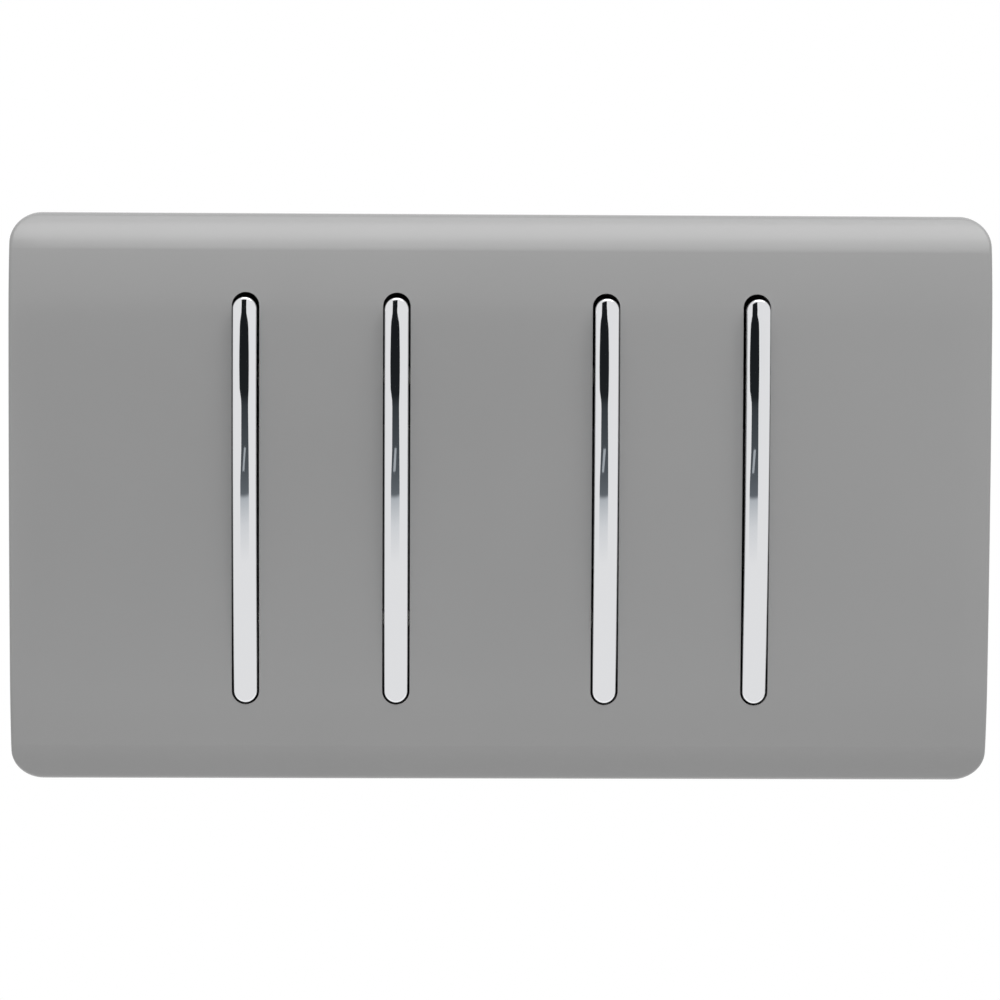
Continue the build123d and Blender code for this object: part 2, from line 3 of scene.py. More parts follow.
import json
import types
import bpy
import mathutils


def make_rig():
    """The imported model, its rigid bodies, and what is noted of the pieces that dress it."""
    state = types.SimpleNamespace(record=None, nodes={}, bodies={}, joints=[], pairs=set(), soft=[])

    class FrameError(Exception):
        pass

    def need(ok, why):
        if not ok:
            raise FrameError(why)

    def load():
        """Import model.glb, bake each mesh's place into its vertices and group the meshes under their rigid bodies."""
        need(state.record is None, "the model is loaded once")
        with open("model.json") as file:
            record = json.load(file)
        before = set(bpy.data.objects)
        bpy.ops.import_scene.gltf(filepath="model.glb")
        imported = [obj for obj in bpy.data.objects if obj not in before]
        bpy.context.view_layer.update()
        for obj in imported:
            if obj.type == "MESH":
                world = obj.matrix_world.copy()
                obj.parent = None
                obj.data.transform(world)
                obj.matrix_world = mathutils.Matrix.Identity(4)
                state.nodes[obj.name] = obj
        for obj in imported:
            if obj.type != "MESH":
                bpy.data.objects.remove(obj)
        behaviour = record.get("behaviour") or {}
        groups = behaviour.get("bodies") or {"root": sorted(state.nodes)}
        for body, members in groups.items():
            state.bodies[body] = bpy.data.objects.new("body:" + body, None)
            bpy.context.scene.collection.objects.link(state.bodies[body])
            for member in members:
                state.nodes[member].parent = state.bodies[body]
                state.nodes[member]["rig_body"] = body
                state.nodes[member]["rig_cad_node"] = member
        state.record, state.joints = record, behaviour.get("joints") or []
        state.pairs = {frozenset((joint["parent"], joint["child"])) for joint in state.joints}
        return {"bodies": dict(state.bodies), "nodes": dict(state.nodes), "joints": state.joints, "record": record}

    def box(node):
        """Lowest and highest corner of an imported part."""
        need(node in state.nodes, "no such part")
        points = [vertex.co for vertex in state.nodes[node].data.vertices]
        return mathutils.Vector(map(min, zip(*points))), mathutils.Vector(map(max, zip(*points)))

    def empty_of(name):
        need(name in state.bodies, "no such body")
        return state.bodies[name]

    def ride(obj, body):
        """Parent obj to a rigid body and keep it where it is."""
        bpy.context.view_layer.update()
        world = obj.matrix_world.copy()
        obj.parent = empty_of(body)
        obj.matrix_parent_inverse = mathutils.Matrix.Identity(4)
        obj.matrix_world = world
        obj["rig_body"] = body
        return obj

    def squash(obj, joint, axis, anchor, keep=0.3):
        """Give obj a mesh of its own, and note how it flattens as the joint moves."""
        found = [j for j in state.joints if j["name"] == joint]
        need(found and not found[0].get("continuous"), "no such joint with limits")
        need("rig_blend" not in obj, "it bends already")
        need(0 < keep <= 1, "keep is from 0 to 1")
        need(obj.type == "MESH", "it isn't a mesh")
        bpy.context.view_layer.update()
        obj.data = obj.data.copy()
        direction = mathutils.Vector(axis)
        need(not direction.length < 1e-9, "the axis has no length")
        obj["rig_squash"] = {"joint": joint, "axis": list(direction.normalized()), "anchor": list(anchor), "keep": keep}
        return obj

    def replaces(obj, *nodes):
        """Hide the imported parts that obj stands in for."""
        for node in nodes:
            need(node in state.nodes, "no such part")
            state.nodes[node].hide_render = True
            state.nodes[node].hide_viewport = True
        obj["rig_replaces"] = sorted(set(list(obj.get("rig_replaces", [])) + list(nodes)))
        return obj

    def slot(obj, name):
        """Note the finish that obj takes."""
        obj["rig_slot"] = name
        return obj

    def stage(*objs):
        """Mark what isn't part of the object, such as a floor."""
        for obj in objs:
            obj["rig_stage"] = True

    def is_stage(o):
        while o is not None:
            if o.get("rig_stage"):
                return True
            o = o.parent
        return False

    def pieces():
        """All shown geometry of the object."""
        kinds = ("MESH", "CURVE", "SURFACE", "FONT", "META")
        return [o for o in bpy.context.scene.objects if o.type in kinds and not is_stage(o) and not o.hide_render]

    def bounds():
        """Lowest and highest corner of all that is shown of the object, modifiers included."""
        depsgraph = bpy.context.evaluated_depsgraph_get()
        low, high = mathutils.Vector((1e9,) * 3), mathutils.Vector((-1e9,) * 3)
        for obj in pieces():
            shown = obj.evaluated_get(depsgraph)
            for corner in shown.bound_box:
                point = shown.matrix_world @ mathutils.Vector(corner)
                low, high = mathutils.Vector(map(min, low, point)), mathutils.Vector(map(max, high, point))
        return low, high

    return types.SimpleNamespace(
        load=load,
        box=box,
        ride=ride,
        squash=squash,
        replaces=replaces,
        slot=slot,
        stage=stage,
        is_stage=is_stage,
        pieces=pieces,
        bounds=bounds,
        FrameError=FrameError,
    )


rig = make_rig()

bl_info = {
    "name": "Four-key rocker switch",
    "version": (1, 0, 0),
    "blender": (4, 5, 0),
    "location": "View3D > Sidebar > Rocker switch",
    "description": "Models and finishes a double wall plate with four slim rocker keys",
    "category": "Object",
}

import json
from contextlib import contextmanager
from math import asin, cos, pi, radians, sin, sqrt

import bmesh
import bpy
from bpy.props import FloatProperty, FloatVectorProperty, IntProperty, PointerProperty
from mathutils import Matrix, Vector

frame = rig.load()
cad_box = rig.bounds()

MM = 0.001
HAIR = 1e-6
THROUGH = 1.0 * MM  # how far a cutting tool stands past what it cuts
OVERLAP = 0.1 * MM  # how far shapes that are joined run into each other
KEY_COUNT = 4
FLAG_DISTANCE = 4.0
BLUE_CAST = (-0.15, -0.02, 0.1)  # shift of red, green and blue in a dark grey
ALONG_X = (0.15, 1, 1)  # scale of a pattern whose marks run along X
ALONG_Z = (1, 1, 0.15)  # scale of a pattern whose marks run along Z

plate_low, plate_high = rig.box("front_plate")


def length(name, description, millimetres):
    """A size that the user can change, in metres."""
    return FloatProperty(
        name=name,
        description=description,
        default=millimetres * MM,
        min=0.0,
        subtype="DISTANCE",
        unit="LENGTH",
        precision=5,
    )


def angle(name, description, degrees):
    """An angle that the user can change."""
    return FloatProperty(
        name=name, description=description, default=radians(degrees), subtype="ANGLE"
    )


def colour(name, description, red, green, blue):
    """A surface colour that the user can change."""
    return FloatVectorProperty(
        name=name,
        description=description,
        default=(red, green, blue),
        min=0.0,
        max=1.0,
        size=3,
        subtype="COLOR",
    )


class CoverSizes(bpy.types.PropertyGroup):
    """Sizes of the clip-on front plate."""

    width: length("Width", "Plate from side to side", (plate_high.x - plate_low.x) / MM)
    height: length("Height", "Plate from bottom to top", (plate_high.z - plate_low.z) / MM)
    depth: length("Depth", "Wall face to the crown of the front", -plate_low.y / MM)
    wall: length("Wall", "Thickness of the moulding", 2.2)
    corner: length("Corner", "Radius of the four corners seen from the front", 4.6)
    rim: length("Rim", "Width of the rounded rim of the front", 0.6)
    crown_radius: length("Crown radius", "Bow of the middle of the front", 900.0)
    shoulder_radius: length("Shoulder radius", "Bow of the front above and below the middle", 70.0)
    shoulder_width: length("Shoulder width", "Height of each shoulder", 10.4)
    crease_radius: length("Crease radius", "Line where the edge band starts", 1.2)
    crease_angle: angle("Crease angle", "Turn of the front where the edge band starts", 4.0)
    band_radius: length("Band radius", "Band that rolls back to the top and bottom edges", 12.0)
    band_width: length("Band width", "Height of the band", 5.6)
    slot_lip: length("Slot lip", "Rounding of the edges of the slots", 0.16)
    notch_width: length("Notch width", "Prise notch in the lower edge", 9.0)
    notch_depth: length("Notch depth", "Depth of the prise notch from the wall", 1.3)
    clip_spacing: length("Clip spacing", "Between the two clips at one side", 44.0)
    nib_length: length("Nib length", "Nib that a clip snaps behind, from end to end", 8.0)
    nib_reach: length("Nib reach", "How far a nib stands in from the side", 1.2)
    nib_front: length("Nib front", "Wall face to the front of a nib", 3.4)
    nib_back: length("Nib back", "Wall face to the back of a nib", 2.4)


class KeySizes(bpy.types.PropertyGroup):
    """Sizes of the chrome keys and their slots."""

    length: length("Length", "Key from end to end", 61.2)
    width: length("Width", "Key from side to side", 3.58)
    crown_y: length("Crown", "Wall face to the crown of a level key", 12.89)
    seat_y: length("Seat", "Wall face to the back of a level key", 7.0)
    pivot_y: length("Pivot", "Wall face to the axis that the key rocks about", 5.8)
    bow_radius: length("Bow radius", "Bow of the key along its length", 330.0)
    crown_radius: length("Crown radius", "Crown of the key across its width", 6.5)
    edge_radius: length("Edge", "Rounding of the rim of the key", 0.3)
    end_gap: length("End gap", "Key to the end of its slot", 0.5)
    side_gap: length("Side gap", "Key to the side of its slot", 0.28)
    leg_spacing: length("Leg spacing", "Between the two legs below the key", 13.0)
    leg_width: length("Leg width", "Leg from side to side", 2.2)
    leg_length: length("Leg length", "Leg along the key", 3.2)
    leg_depth: length("Leg depth", "Height of a leg below the key", 1.4)
    leg_round: length("Leg round", "Rounding of the edges of a leg", 0.2)
    pair_pitch: length("Pair pitch", "Between the two keys of a pair", 22.7)
    inner_pitch: length("Inner pitch", "Between the inner keys of the two pairs", 31.5)
    plunger_travel: length("Plunger travel", "Slide of each plunger into its stem", 0.8)
    tilt: angle("Tilt", "Turn of a resting key from level, with its lower end in", 2.5)
    rows: IntProperty(
        name="Rows",
        description="Rows of faces along the straight part of a key",
        default=24,
        min=4,
    )


class ScrewSizes(bpy.types.PropertyGroup):
    """Sizes of the two screws that go into the wall box."""

    pitch: length("Pitch", "Between the two screws", 120.6)
    thread_radius: length("Thread radius", "Outside of the thread", 1.75)
    core_radius: length("Core radius", "Root of the thread", 1.4)
    neck_radius: length("Neck radius", "Plain neck through the frame", 1.5)
    thread_pitch: length("Thread pitch", "One turn of the thread", 0.6)
    thread_start: length("Thread start", "First crest of the thread behind the wall face", 0.7)
    reach: length("Reach", "End of the screw behind the wall face", 22.0)
    tip_round: length("Tip round", "Rounding of the end of the screw", 0.5)
    seat: length("Seat", "Wall face to the front of the frame, where the head bears", 2.2)
    head_radius: length("Head radius", "Radius of the head", 3.3)
    head_thickness: length("Head thickness", "Height of the head", 2.1)
    head_round: length("Head round", "Rounding of the head", 0.9)
    slot_edge: length("Slot edge", "Rounding of the sharp edges of the head", 0.08)
    slot_width: length("Slot width", "Width of the drive slot", 1.1)
    slot_depth: length("Slot depth", "Depth of the drive slot", 1.2)


class FinishColours(bpy.types.PropertyGroup):
    """Colours of the surfaces."""

    cover: colour("Cover", "Mid-grey gloss of the front plate", 0.3, 0.3, 0.3)
    chrome: colour("Chrome", "Plating of the keys", 0.72, 0.725, 0.74)
    frame: colour("Frame", "Moulding of the mounting frame", 0.045, 0.045, 0.048)
    rocker: colour("Rocker", "Moulding below the keys", 0.018, 0.018, 0.019)
    module: colour("Module", "Moulding of the switch modules", 0.66, 0.66, 0.635)
    nylon: colour("Nylon", "Plungers", 0.74, 0.73, 0.67)
    spring: colour("Spring", "Drawn steel wire", 0.5, 0.5, 0.5)
    zinc: colour("Zinc", "Plated screws", 0.62, 0.62, 0.58)
    brass: colour("Brass", "Terminals", 0.74, 0.53, 0.24)
    copper: colour("Copper", "Contact blades", 0.74, 0.42, 0.24)
    silver: colour("Silver", "Contact tips", 0.86, 0.85, 0.81)


class StudioSettings(bpy.types.PropertyGroup):
    """Camera, lamps and backdrop."""

    distance: length("Distance", "Camera to the middle of the plate", 500.0)
    elevation: angle("Elevation", "Camera above the level of the plate's middle", 3.407)
    yaw: angle("Yaw", "Camera to the left of straight ahead", 1.053)
    roll: angle("Roll", "Clockwise turn of the picture", 0.278)
    lens: FloatProperty(
        name="Lens",
        description="Focal length in millimetres on a 36 mm sensor",
        default=117.03,
        unit="CAMERA",
    )
    shift_x: FloatProperty(
        name="Shift X", description="Sideways shift of the lens", default=0.00029
    )
    shift_y: FloatProperty(
        name="Shift Y", description="Upward shift of the lens", default=-0.0041
    )
    room_light: FloatProperty(
        name="Room light", description="Even light that falls on matt surfaces", default=0.55
    )
    top_lamp: FloatProperty(
        name="Top lamp",
        description="Power of the overhead lamp in watts",
        default=5.2,
        unit="POWER",
    )
    front_lamp: FloatProperty(
        name="Front lamp",
        description="Power of the front lamp in watts",
        default=9.5,
        unit="POWER",
    )
    floor_radius: length("Floor radius", "Radius of the round floor", 450.0)
    floor_drop: length("Floor drop", "Middle of the plate down to the floor", 250.0)
    floor_glow: FloatProperty(
        name="Floor glow",
        description="Light that the floor adds where the eye sees it",
        default=0.35,
    )


def key_places():
    """The X of each key, from left to right."""
    keys = bpy.context.scene.switch_keys
    inner = keys.inner_pitch / 2
    outer = inner + keys.pair_pitch
    return (-outer, -inner, inner, outer)


def activate(*pieces):
    """Selects these objects and nothing else, and makes the first one active."""
    bpy.ops.object.select_all(action="DESELECT")
    for piece in pieces:
        piece.select_set(True)
    bpy.context.view_layer.objects.active = pieces[0]


@contextmanager
def editing(piece):
    """Edit mode on one piece."""
    activate(piece)
    bpy.ops.object.mode_set(mode="EDIT")
    yield
    bpy.ops.object.mode_set(mode="OBJECT")


def pick(kind, test):
    """Selects the vertices, edges or faces of the edited piece that pass a test."""
    bpy.ops.mesh.select_mode(type=kind)
    bpy.ops.mesh.select_all(action="DESELECT")
    mesh = bmesh.from_edit_mesh(bpy.context.edit_object.data)
    mesh.normal_update()
    items = {"VERT": mesh.verts, "EDGE": mesh.edges, "FACE": mesh.faces}[kind]
    chosen = [item for item in items if test(item)]
    for item in chosen:
        item.select_set(True)
    mesh.select_flush_mode()
    bmesh.update_edit_mesh(bpy.context.edit_object.data)


def runs_back(edge):
    """Whether an edge runs from the front to the back."""
    return abs(edge.verts[0].co.y - edge.verts[1].co.y) > MM


def round_edges(radius, segments):
    """Rounds the selected edges of the edited piece."""
    bpy.ops.mesh.bevel(offset=radius, segments=segments, affect="EDGES", clamp_overlap=False)


def block(name, low, high):
    """A box between two corners."""
    size = [b - a for a, b in zip(low, high)]
    centre = [(a + b) / 2 for a, b in zip(low, high)]
    bpy.ops.object.select_all(action="DESELECT")
    bpy.ops.mesh.primitive_cube_add(size=1, location=centre, scale=size)
    bpy.ops.object.transform_apply(location=True, rotation=True, scale=True)
    piece = bpy.context.active_object
    piece.name = name
    return piece


def round_bar(name, radius, front_y, back_y, x=0.0, z=0.0, sides=48):
    """A round bar along Y."""
    bpy.ops.object.select_all(action="DESELECT")
    bpy.ops.mesh.primitive_cylinder_add(
        vertices=sides,
        radius=radius,
        depth=back_y - front_y,
        location=(x, (front_y + back_y) / 2, z),
        rotation=(pi / 2, 0, 0),
    )
    bpy.ops.object.transform_apply(location=True, rotation=True, scale=True)
    piece = bpy.context.active_object
    piece.name = name
    return piece


def outline_sheet(name, points, fill):
    """A flat sheet or an open loop with its corners at these points."""
    bpy.ops.object.select_all(action="DESELECT")
    bpy.ops.mesh.primitive_circle_add(
        vertices=len(points), radius=MM, fill_type=fill, location=(0, 0, 0)
    )
    sheet = bpy.context.active_object
    sheet.name = name
    starts = [vertex.co.copy() for vertex in sheet.data.vertices]
    with editing(sheet):
        for number, (point, start) in enumerate(zip(points, starts)):
            pick("VERT", lambda v: v.index == number)
            bpy.ops.transform.translate(value=Vector(point) - start, orient_type="GLOBAL")
    return sheet


def finish_with(piece, kind, **settings):
    """Adds a modifier, sets it and applies it."""
    activate(piece)
    bpy.ops.object.modifier_add(type=kind)
    modifier = piece.modifiers[-1]
    for name, value in settings.items():
        setattr(modifier, name, value)
    bpy.ops.object.modifier_apply(modifier=modifier.name)


def carve(piece, tool, operation="DIFFERENCE"):
    """Cuts a piece with another one, or joins it to it, and removes the other."""
    finish_with(piece, "BOOLEAN", object=tool, operation=operation, solver="EXACT")
    bpy.data.objects.remove(tool)


def soften(piece, width, segments=2, limit=30.0):
    """Rounds the edges that turn by more than a limit in degrees, and shades the piece smooth."""
    activate(piece)
    bpy.ops.object.shade_smooth()
    finish_with(
        piece,
        "BEVEL",
        width=width,
        segments=segments,
        limit_method="ANGLE",
        angle_limit=radians(limit),
        harden_normals=True,
        use_clamp_overlap=True,
    )


def copies_at(piece, name, places):
    """A copy of a piece at each place along X, instead of the piece itself."""
    found = []
    for number, x in enumerate(places, start=1):
        mesh = piece.data.copy()
        mesh.transform(Matrix.Translation((x, 0, 0)))
        copy = bpy.data.objects.new(f"{name}_{number}", mesh)
        bpy.context.collection.objects.link(copy)
        found.append(copy)
    bpy.data.objects.remove(piece)
    return found


def dress(piece, body, slot, *nodes):
    """Gives a finished piece its material, its body and the nodes that it stands for."""
    piece.data.materials.clear()
    piece.data.materials.append(finish(slot))
    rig.ride(piece, body)
    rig.slot(piece, slot)
    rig.replaces(piece, *nodes)


def new_material(name, colour, roughness, metallic=0.0):
    """A material of one colour, roughness and share of metal."""
    material = bpy.data.materials.new(name)
    material.use_nodes = True
    nodes = material.node_tree.nodes
    shader = nodes["Principled BSDF"]
    shader.inputs["Base Color"].default_value = (*colour, 1)
    shader.inputs["Roughness"].default_value = roughness
    shader.inputs["Metallic"].default_value = metallic
    return material


def add_node(material, kind, **values):
    """A node with values on its inputs, given by name with underscores for spaces."""
    node = material.node_tree.nodes.new(kind)
    for name, value in values.items():
        node.inputs[name.replace("_", " ")].default_value = value
    return node


def join(material, source, target):
    """A link from an output to an input, each given as a node and a socket name."""
    material.node_tree.links.new(source[0].outputs[source[1]], target[0].inputs[target[1]])


def surface_noise(material, scale, detail=3.0, stretch=(1, 1, 1)):
    """Noise in the piece's own coordinates, finer along the axes with a larger stretch."""
    place = add_node(material, "ShaderNodeTexCoord")
    mapping = add_node(material, "ShaderNodeMapping", Scale=stretch)
    noise = add_node(material, "ShaderNodeTexNoise", Scale=scale, Detail=detail)
    join(material, (place, "Object"), (mapping, "Vector"))
    join(material, (mapping, "Vector"), (noise, "Vector"))
    return noise


def vary_roughness(material, noise, low, high):
    """Roughness that wanders between two values."""
    spread = add_node(material, "ShaderNodeMapRange", To_Min=low, To_Max=high)
    join(material, (noise, "Fac"), (spread, "Value"))
    join(material, (spread, "Result"), (material.node_tree.nodes["Principled BSDF"], "Roughness"))


def vary_colour(material, noise, colour, change):
    """Colour that wanders a little darker and lighter than its base."""
    ramp = add_node(material, "ShaderNodeValToRGB")
    ends = ramp.color_ramp.elements
    ends[0].position = 0.3
    ends[1].position = 0.7
    ends[0].color = (*[c * (1 - change) for c in colour], 1)
    ends[1].color = (*[min(1.0, c * (1 + change)) for c in colour], 1)
    join(material, (noise, "Fac"), (ramp, "Fac"))
    join(material, (ramp, "Color"), (material.node_tree.nodes["Principled BSDF"], "Base Color"))


def raise_surface(material, noise, height, strength=1.0):
    """A fine relief from noise, with its height in metres."""
    bump = add_node(material, "ShaderNodeBump", Strength=strength, Distance=height)
    join(material, (noise, "Fac"), (bump, "Height"))
    join(material, (bump, "Normal"), (material.node_tree.nodes["Principled BSDF"], "Normal"))


def gloss_moulding(name, colour):
    """Polished grey moulding with a faint waviness."""
    material = new_material(name, colour, 0.22)
    vary_colour(material, surface_noise(material, scale=42, detail=4), colour, change=0.01)
    vary_roughness(material, surface_noise(material, scale=60, detail=2), low=0.19, high=0.25)
    waves = surface_noise(material, scale=900, detail=1)
    raise_surface(material, waves, 0.003 * MM, strength=0.2)
    return material


def plated_chrome(name, colour):
    """Bright plating over a moulding, with the slight waviness of the part below."""
    material = new_material(name, colour, 0.02, 1.0)
    vary_roughness(material, surface_noise(material, scale=220, detail=2), low=0.012, high=0.03)
    waves = surface_noise(material, scale=130, detail=1, stretch=(1, 1, 0.3))
    raise_surface(material, waves, 0.002 * MM, strength=0.15)
    return material


def fine_moulding(name, colour, roughness, grain):
    """Matt or satin moulding with a spark-eroded grain."""
    material = new_material(name, colour, roughness)
    spread = 0.06
    vary_colour(material, surface_noise(material, scale=150, detail=5), colour, change=0.015)
    patches = surface_noise(material, scale=400, detail=3)
    vary_roughness(material, patches, roughness - spread, roughness + spread)
    pits = surface_noise(material, scale=grain, detail=2)
    raise_surface(material, pits, 0.01 * MM, strength=0.35)
    return material


def worked_metal(name, colour, low, high, stretch=(1, 1, 1)):
    """Bare or thinly plated metal with tool marks along one direction."""
    material = new_material(name, colour, low, 1.0)
    vary_colour(material, surface_noise(material, scale=300, detail=4), colour, change=0.06)
    wear = surface_noise(material, scale=500, detail=4, stretch=stretch)
    vary_roughness(material, wear, low, high)
    marks = surface_noise(material, scale=900, detail=3, stretch=stretch)
    raise_surface(material, marks, 0.003 * MM, strength=0.3)
    return material


def finish(slot):
    """The material of a slot, made when it is first asked for."""
    name = f"finished_{slot}"
    if name in bpy.data.materials:
        return bpy.data.materials[name]
    colours = bpy.context.scene.switch_finish
    recipes = {
        "cover_gloss": lambda: gloss_moulding(name, colours.cover),
        "key_chrome": lambda: plated_chrome(name, colours.chrome),
        "frame_moulding": lambda: fine_moulding(name, colours.frame, roughness=0.55, grain=1800),
        "rocker_moulding": lambda: fine_moulding(name, colours.rocker, roughness=0.45, grain=2400),
        "module_moulding": lambda: fine_moulding(name, colours.module, roughness=0.42, grain=2000),
        "plunger_nylon": lambda: fine_moulding(name, colours.nylon, roughness=0.36, grain=2600),
        "spring_steel": lambda: worked_metal(name, colours.spring, 0.2, 0.35),
        "screw_steel": lambda: worked_metal(name, colours.zinc, 0.22, 0.42),
        "terminal_brass": lambda: worked_metal(name, colours.brass, 0.2, 0.4, ALONG_X),
        "contact_copper": lambda: worked_metal(name, colours.copper, 0.25, 0.42, ALONG_Z),
        "contact_silver": lambda: worked_metal(name, colours.silver, 0.18, 0.32),
    }
    return recipes[slot]()


def front_arcs(half_height):
    """Radius and height of each arc of a bowed front: crown, shoulder, crease and edge band."""
    cover = bpy.context.scene.switch_cover
    crown_run = half_height - cover.band_width - cover.shoulder_width
    slope = asin(crown_run / cover.crown_radius + cover.shoulder_width / cover.shoulder_radius)
    crease_run = cover.crease_radius * (sin(slope + cover.crease_angle) - sin(slope))
    return (
        (cover.crown_radius, crown_run),
        (cover.shoulder_radius, cover.shoulder_width),
        (cover.crease_radius, crease_run),
        (cover.band_radius, cover.band_width - crease_run),
    )


def front_setback(z, half_height):
    """How far a bowed front of this half height lies behind its crown at a height."""
    height = abs(z)
    start, setback, slope = 0.0, 0.0, 0.0
    for radius, run in front_arcs(half_height):
        along = min(height - start, run)
        end_slope = asin(sin(slope) + along / radius)
        setback += radius * (cos(slope) - cos(end_slope))
        if height <= start + run:
            break
        start += run
        slope = end_slope
    return setback


def move_rows(axis, is_moved, setback):
    """Moves the edited piece's front vertices back, one row at a time."""
    mesh = bmesh.from_edit_mesh(bpy.context.edit_object.data)
    rows = []
    for place in sorted(abs(v.co[axis]) for v in mesh.verts if is_moved(v)):
        if not rows or place > rows[-1] + HAIR:
            rows.append(place)
    for row in rows:
        shift = setback(row)
        if shift < HAIR / 10:
            continue
        pick("VERT", lambda v: is_moved(v) and row <= abs(v.co[axis]) <= row + HAIR)
        bpy.ops.transform.translate(value=(0, shift, 0), orient_type="GLOBAL")


def cut_rows(places, normal):
    """Cuts the edited piece by planes at these places."""
    for place in places:
        bpy.ops.mesh.select_all(action="SELECT")
        bpy.ops.mesh.bisect(
            plane_co=[place * n for n in normal], plane_no=normal, threshold=HAIR / 10
        )


def plate_rows(half_height):
    """Heights of the rows of faces on the upper half of a bowed front."""
    crown_run, shoulder_run, crease_run, _ = (run for _, run in front_arcs(half_height))
    shoulder_end = crown_run + shoulder_run
    band_run = half_height - shoulder_end
    crown_count, shoulder_count, band_count = 9, 10, 16
    rows = [crown_run * k / crown_count for k in range(1, crown_count + 1)]
    rows += [crown_run + shoulder_run * k / shoulder_count for k in range(1, shoulder_count + 1)]
    rows += [shoulder_end + crease_run]
    rows += [shoulder_end + band_run * k / band_count for k in range(1, band_count)]
    return rows


def slot_tool(x, length, width, front_y, back_y):
    """A round-ended bar that cuts a slot."""
    low = (x - width / 2, front_y, -length / 2)
    high = (x + width / 2, back_y, length / 2)
    tool = block("slot_tool", low, high)
    with editing(tool):
        pick("EDGE", runs_back)
        round_edges(width / 2, segments=20)
        bpy.ops.mesh.select_all(action="SELECT")
        bpy.ops.mesh.remove_doubles(threshold=HAIR)
    return tool


def bowed_block(name, half_width, half_height, crown_y, corner, rim):
    """A block with round corners and rim, and a front that is bowed from top to bottom."""
    piece = block(name, (-half_width, crown_y, -half_height), (half_width, 0, half_height))
    rows = plate_rows(half_height)
    straight = half_width - corner
    with editing(piece):
        pick("EDGE", runs_back)
        round_edges(corner, segments=16)
        if rim > 0:
            pick("FACE", lambda f: f.normal.y < -0.9)
            bpy.ops.mesh.region_to_loop()
            round_edges(rim, segments=8)
        cut_rows([-straight, straight], (1, 0, 0))
        cut_rows([0.0] + rows + [-z for z in rows], (0, 0, 1))
        move_rows(2, lambda v: v.co.y < -MM, lambda z: front_setback(z, half_height))
    return piece


def model_cover():
    """The clip-on cover: a bowed shell with round corners and a slot for each key."""
    cover = bpy.context.scene.switch_cover
    keys = bpy.context.scene.switch_keys
    half_width, half_height = cover.width / 2, cover.height / 2
    piece = bowed_block(
        "cover_shell", half_width, half_height, -cover.depth, cover.corner, cover.rim
    )
    cavity = bowed_block(
        "cavity",
        half_width - cover.wall,
        half_height - cover.wall,
        cover.wall - cover.depth,
        cover.corner - cover.wall,
        0.0,
    )
    with editing(cavity):
        pick("FACE", lambda f: f.normal.y > 0.9)
        bpy.ops.transform.translate(value=(0, THROUGH, 0), orient_type="GLOBAL")
    carve(piece, cavity)
    slot_length = keys.length + 2 * keys.end_gap
    slot_width = keys.width + 2 * keys.side_gap
    behind_front = -4 * MM
    for x in key_places():
        tool = slot_tool(x, slot_length, slot_width, -cover.depth - THROUGH, behind_front)
        carve(piece, tool)
    add_clip_nibs(piece)
    notch = cover.notch_width / 2
    low = (-notch, -cover.notch_depth, -half_height - THROUGH)
    high = (notch, THROUGH, -half_height + cover.wall + OVERLAP)
    carve(piece, block("notch_tool", low, high))
    soften(piece, cover.slot_lip, segments=3, limit=40.0)
    return piece


def add_clip_nibs(piece):
    """The four nibs inside the cover that its clips snap behind."""
    cover = bpy.context.scene.switch_cover
    inside = cover.width / 2 - cover.wall
    half_length = cover.nib_length / 2
    for side in (-1, 1):
        x0, x1 = sorted((side * (inside - cover.nib_reach), side * (inside + OVERLAP)))
        for z in (-cover.clip_spacing / 2, cover.clip_spacing / 2):
            low = (x0, -cover.nib_front, z - half_length)
            high = (x1, -cover.nib_back, z + half_length)
            carve(piece, block("nib", low, high), "UNION")


def key_bow(z):
    """Setback of the key's front along its length."""
    radius = bpy.context.scene.switch_keys.bow_radius
    return radius - sqrt(radius**2 - z**2)


def key_crown(x):
    """Setback of the key's front across its width, straight beside the rim."""
    keys = bpy.context.scene.switch_keys
    radius = keys.crown_radius
    limit = keys.width / 2 - keys.edge_radius
    inside = min(x, limit)
    slope = inside / sqrt(radius**2 - inside**2)
    return radius - sqrt(radius**2 - inside**2) + slope * (x - inside)


def is_key_rim(edge):
    """Whether an edge lies between the front of the key and its sides."""
    if len(edge.link_faces) != 2:
        return False
    leans = sorted(face.normal.y for face in edge.link_faces)
    return leans[0] < -0.9 and abs(leans[1]) < 0.1


def model_key_legs(keys):
    """The two legs that hold a level key in its cradle."""
    half_width, half_length = keys.leg_width / 2, keys.leg_length / 2
    legs = []
    for z in (-keys.leg_spacing / 2, keys.leg_spacing / 2):
        low = (-half_width, -keys.seat_y - OVERLAP, z - half_length)
        high = (half_width, -keys.seat_y + keys.leg_depth, z + half_length)
        leg = block("key_leg", low, high)
        soften(leg, keys.leg_round)
        legs.append(leg)
    return legs


